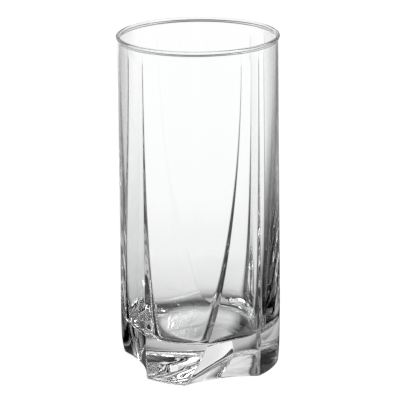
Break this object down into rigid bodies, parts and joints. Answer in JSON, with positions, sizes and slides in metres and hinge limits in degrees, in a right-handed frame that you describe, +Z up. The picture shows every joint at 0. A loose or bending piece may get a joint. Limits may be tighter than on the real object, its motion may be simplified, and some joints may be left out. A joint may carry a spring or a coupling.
{
  "type": "juice glass",
  "caption": "Tall clear glass tumbler with a beaded rim, four swept flutes that show inside and outside, crisp ridges and a heavy solid base.",
  "frame": {"origin": "middle of the underside, on the surface that the glass stands on", "axes": "+Z up along the axis of the glass, towards the rim; the upright ridges lie on the diagonals between X and Y"},
  "size_m": [0.0686, 0.0686, 0.1438],
  "materials": {
    "clear_glass": "fire-polished, clear and colourless"
  },
  "bodies": {
    "root": {"tumbler": "clear_glass"}
  },
  "joints": []
}
